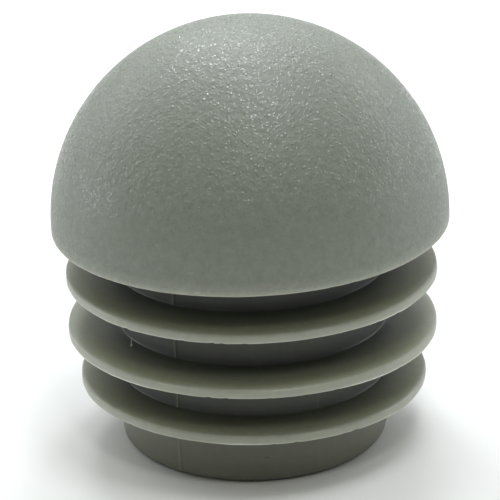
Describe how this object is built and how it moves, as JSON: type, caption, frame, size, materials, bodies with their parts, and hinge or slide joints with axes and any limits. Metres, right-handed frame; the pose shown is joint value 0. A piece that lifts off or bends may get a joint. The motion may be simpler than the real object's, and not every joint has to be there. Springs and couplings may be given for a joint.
{
  "type": "domed tube end cap",
  "caption": "Domed plastic end cap for a round tube: a grained hemispherical head on a hollow stem with thin flexible disc fins that grip the bore.",
  "frame": {"origin": "centre of the seat, the flat ring under the head that meets the tube's end", "axes": "+Z along the cap's axis, from the stem towards the top of the head"},
  "size_m": [0.032, 0.032, 0.0349],
  "materials": {
    "grey_polyethylene": "moulded grey polyethylene, spark-eroded grain on the head, satin on the stem and fins"
  },
  "bodies": {
    "root": {"end_cap": "grey_polyethylene"}
  },
  "joints": []
}
